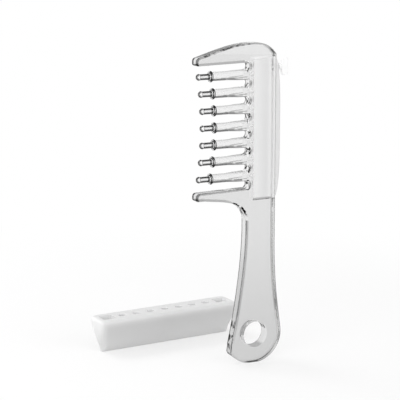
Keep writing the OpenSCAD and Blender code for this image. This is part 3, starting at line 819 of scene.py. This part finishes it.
pad_t = POCKET_T - 4 * SLIP
nose = pad_t * 0.3
rings = []
for i in range(65):
    z = PAD_MID - PAD_HALF * cos(pi * i / 64)
    face = max(pad_face(z), PAD_X0 + 1.0)
    # The section is as the extruded one, cut off where the face lies lower than the full crown
    r = min(nose, (face - PAD_X0) * 0.45)
    section = ([(PAD_X0, pad_t / 2), (PAD_X0, -pad_t / 2)] + arc(face - r, r - pad_t / 2, r, -90, 0, 10)
               + arc(face - r, pad_t / 2 - r, r, 0, 90, 10))
    rings.append([(p[0], p[1], z) for p in section])
pad = loft("squeeze_pad_skin", rings)
tongue = box_side(TRAY_X1 - 3, PAD_X0 + 1, POCKET_Z0 + SLIP + SHELL_T + 0.3, PLUG_Z - FLANGE_R)
combine(pad, slab("tongue", tongue, hollow_t - 0.6), "UNION")
hole_x0, hole_x1 = PAD_X0 - OVERRUN, HEAD_D + PAD_CROWN + OVERRUN
stem_hole = [(0, hole_x0), (PLUG_R + FIT, hole_x0), (PLUG_R + FIT, hole_x1), (0, hole_x1)]
combine(pad, revolve("stem_hole", stem_hole, lambda u, v, d: (d, u, PLUG_Z + v), fn=32), "DIFFERENCE")
dress(pad, pad_mat, "squeeze_pad", "white_silicone", "squeeze_pad")

# Filler plug
flange_x = pad_face(PLUG_Z - FLANGE_R)
stem = [(0, TRAY_X1 - 1.5), (PLUG_R - 0.3, TRAY_X1 - 1.5), (PLUG_R, TRAY_X1 - 1.2), (PLUG_R, flange_x),
        (FLANGE_R - 0.2, flange_x), (FLANGE_R, flange_x + 0.2), (FLANGE_R, flange_x + 0.8),
        (FLANGE_R - 0.2, flange_x + 1), (0, flange_x + 1)]
plug = revolve("filler_plug_tab", stem, lambda u, v, d: (d, u, PLUG_Z + v), fn=48)
neck_l, neck_h = 1.6, FLANGE_R * 1.5
lobe_l = TAB_L + 0.5 - neck_l
x0 = flange_x + 0.5
neck = box_side(x0, x0 + TAB_L / 2, PLUG_Z - neck_h / 2, PLUG_Z + neck_h / 2)
combine(plug, slab("neck", neck, TAB_T, r=0.3), "UNION")
lobe_x = x0 + neck_l + lobe_l / 2
lobe = [(lobe_x + p[0], PLUG_Z + p[1]) for p in round_rect(lobe_l, TAB_H, lobe_l * 0.44)]
combine(plug, plate("tab", lobe, TAB_T, 0.5, steps=4), "UNION")
dress(plug, plug_mat, "filler_plug", "white_silicone", "filler_plug")

# Tooth cap: bellied wedge with round edges, a socket for each nozzle and a slot for each guard tooth
rim_z, corner_r = CAP_H - CAP_RIM_R, 4
levels = [(rim_z * i / 24, 0) for i in range(25)]
for a in range(10, 91, 10):
    levels.append((rim_z + CAP_RIM_R * sin(radians(a)), CAP_RIM_R * (1 - cos(radians(a)))))
rings = []
for z, d in levels:
    s = min(1, z / rim_z)
    length = CAP_FOOT_L + (CAP_L - CAP_FOOT_L) * s - 2 * d
    depth = CAP_FOOT_D + (CAP_D - CAP_FOOT_D) * sin(pi / 2 * s) - 2 * d
    section = round_rect(length, depth, min(corner_r, depth / 2 - 0.2))
    rings.append([(CAP_X + p[0], CAP_Y + p[1], z) for p in section])
cap = loft("tooth_cap_shell", rings)
socket_r, mouth_r = DOME_R + CAP_SLACK, 0.4
socket_z = CAP_H - (NOZZLE_L - COLLAR_T + CAP_SLACK)
slot_z = CAP_H - (GUARD_L - COLLAR_T - setback((MIDDLE - 1) * PITCH) + CAP_SLACK)
socket = ([(0, socket_z), (socket_r, socket_z), (socket_r, CAP_H - mouth_r)]
          + arc(socket_r + mouth_r, CAP_H - mouth_r, mouth_r, 180, 90, 4)
          + [(socket_r + mouth_r, CAP_H + OVERRUN), (0, CAP_H + OVERRUN)])
cuts = []
for k in ROW:
    x = CAP_X + tooth_z(k) - ROW_Z
    cuts.append(revolve(f"socket_{k}", socket, lambda u, v, d: (x + u, CAP_Y + v, d), fn=48))
slot_in, slot_out = GUARD_EDGE + GUARD_DIP + CAP_SLACK, GUARD_TIP_H + GUARD_DIP - GUARD_EDGE + CAP_SLACK
mouth_out, top = GUARD_MOUTH + CAP_SLACK, CAP_H + 4 * OVERRUN
slot = [(-slot_in, slot_z), (slot_out, slot_z), (mouth_out, CAP_H), (mouth_out, top), (-slot_in, top)]
for s in (-1, 1):
    side = [(CAP_X + s * (MIDDLE * PITCH + x), z) for x, z in slot]
    cuts.append(slab(f"slot_{s}", side, PLATE_T + 2 * CAP_SLACK, y=CAP_Y))
combine(cap, join(cuts), "DIFFERENCE")
middle = Matrix.Translation(at(CAP_X, CAP_Y, 0))
cap.data.transform(middle @ Matrix.Rotation(radians(CAP_TURN), 4, "Z") @ middle.inverted())
dress(cap, milky, "tooth_cap", "cap_silicone", "tooth_cap")


def in_hollow(c, n):
    d = Matrix.Rotation(-radians(CAP_TURN), 3, "Z") @ (c - Vector((CAP_X, CAP_Y, 0)))
    in_socket = any(hypot(d.x - tooth_z(k) + ROW_Z, d.y) < socket_r + NEAR for k in ROW)
    in_length = MIDDLE * PITCH - slot_in - NEAR < abs(d.x) < MIDDLE * PITCH + mouth_out + NEAR
    in_slot = abs(d.y) < PLATE_T / 2 + CAP_SLACK + NEAR and in_length
    return slot_z - NEAR < c.z < CAP_H - NEAR and (in_socket or in_slot)


paint(cap, hollow_painted_light_mat, in_hollow)

# Camera
camera = bpy.data.objects.new("camera", bpy.data.cameras.new("camera"))
camera.data.lens, camera.data.sensor_width = LENS, 36
camera.data.clip_start, camera.data.clip_end = 0.05, 20
camera.location = at(*CAMERA_PLACE)
camera.rotation_euler = (radians(90 - CAMERA_DROP), 0, radians(-CAMERA_TURN))
bpy.context.collection.objects.link(camera)
scene = bpy.context.scene
scene.camera = camera
scene.view_settings.view_transform = "Standard"

# Floor and world

# Greys of the floor in the light that it gives back and as the camera sees it, the glow that the camera sees
# on top of that, the distances in metres between which it turns white, and how far it lies below the foot
FLOOR_GREY, FLOOR_SEEN, FLOOR_GLOW, FLOOR_FADE, FLOOR_DROP = 0.8, 0.6, 0.38, (0.15, 0.4), 0.0001
# Light of the world on the object
AMBIENT = 0.74
# What the clear pieces see: the sine of the angle up or down where the white walls end and where the greys of
# ceiling and ground begin, and these greys
STUDIO_WHITE, STUDIO_END, ABOVE_GREY, BELOW_GREY = 0.4, 0.8, 0.3, 0.8
# The cosine of the angle to the camera's line up to which the walls are grey and from which they are white
SIDE_END, SIDE_WHITE, SIDE_GREY = 0.1, 0.5, 0.5


def plain_shader(tree, kind, grey=1.0, **settings):
    return add(tree, kind, Color=(grey, grey, grey, 1), **settings).outputs[0]


def cleared(owner):
    owner.use_nodes = True
    owner.node_tree.nodes.clear()
    return owner.node_tree, add(owner.node_tree, "ShaderNodeLightPath").outputs


def bent_ray(tree, path):
    """1 for a ray that was mirrored or let through."""
    return calculate(tree, "MAXIMUM", path["Is Glossy Ray"], path["Is Transmission Ray"])


bm = bmesh.new()
bmesh.ops.create_grid(bm, x_segments=1, y_segments=1, size=3)
floor = to_object("floor", bm)
floor.location = (0, 0, -FLOOR_DROP)

# The camera sees the floor's shadows on white, and the clear pieces see the world in place of the floor
m = bpy.data.materials.new("floor")
tree, path = cleared(m)
lit = add(tree, "ShaderNodeAddShader")
tree.links.new(plain_shader(tree, "ShaderNodeBsdfDiffuse", FLOOR_SEEN), lit.inputs[0])
tree.links.new(plain_shader(tree, "ShaderNodeEmission", Strength=FLOOR_GLOW), lit.inputs[1])
distance = add(tree, "ShaderNodeVectorMath", operation="LENGTH")
tree.links.new(place_in(tree), distance.inputs[0])
near = between(tree, distance.outputs["Value"], *FLOOR_FADE)
seen = mix_shaders(tree, near, lit.outputs[0], plain_shader(tree, "ShaderNodeEmission", Strength=1.0))
plain = plain_shader(tree, "ShaderNodeBsdfDiffuse", FLOOR_GREY)
first = mix_shaders(tree, path["Is Camera Ray"], plain, seen)
surface = mix_shaders(tree, bent_ray(tree, path), first, plain_shader(tree, "ShaderNodeBsdfTransparent"))
tree.links.new(surface, add(tree, "ShaderNodeOutputMaterial").inputs[0])
floor.data.materials.append(m)

# The camera sees white, and the clear pieces see a studio: white walls where the camera's line meets them,
# grey walls beside it, a dark ceiling and a light grey ground
scene.world = bpy.data.worlds.new("world")
tree, path = cleared(scene.world)
direction = add(tree, "ShaderNodeTexCoord").outputs["Generated"]
height = parts(tree, direction)["Z"]
along = add(tree, "ShaderNodeVectorMath", operation="DOT_PRODUCT")
along.inputs[1].default_value = (sin(radians(CAMERA_TURN)), cos(radians(CAMERA_TURN)), 0)
tree.links.new(direction, along.inputs[0])
beside = between(tree, calculate(tree, "ABSOLUTE", along.outputs["Value"]), SIDE_END, SIDE_WHITE)
walls = mix_colours(tree, beside, SIDE_GREY, 1.0)
room = mix_colours(tree, between(tree, height, STUDIO_WHITE, STUDIO_END), walls, ABOVE_GREY)
room = mix_colours(tree, between(tree, height, -STUDIO_WHITE, -STUDIO_END), room, BELOW_GREY)
studio = add(tree, "ShaderNodeBackground", Strength=1.0)
tree.links.new(room, studio.inputs[0])
first = mix_shaders(tree, path["Is Camera Ray"], plain_shader(tree, "ShaderNodeBackground", Strength=AMBIENT),
                    plain_shader(tree, "ShaderNodeBackground", Strength=1.0))
surface = mix_shaders(tree, bent_ray(tree, path), first, studio.outputs[0])
tree.links.new(surface, add(tree, "ShaderNodeOutputWorld").inputs[0])

# Soft lamps with their place and size in metres and their power in watts, aimed at the middle of the scene
# and hidden from rays that a clear piece lets through
AIM = Vector((0, 0, 0.1))
LAMPS = {"key": ((-1.3, -0.9, 0.75), 0.9, 9), "fill": ((0.9, -1.3, 0.5), 1.0, 4),
         "back": ((-0.5, 0.9, 1.1), 0.6, 4)}
for name, (place, size, power) in LAMPS.items():
    lamp = bpy.data.objects.new(name, bpy.data.lights.new(name, "AREA"))
    lamp.data.size, lamp.data.energy = size, power
    lamp.location = place
    lamp.visible_transmission = False
    lamp.rotation_euler = (AIM - Vector(place)).to_track_quat("-Z", "Y").to_euler()
    bpy.context.collection.objects.link(lamp)
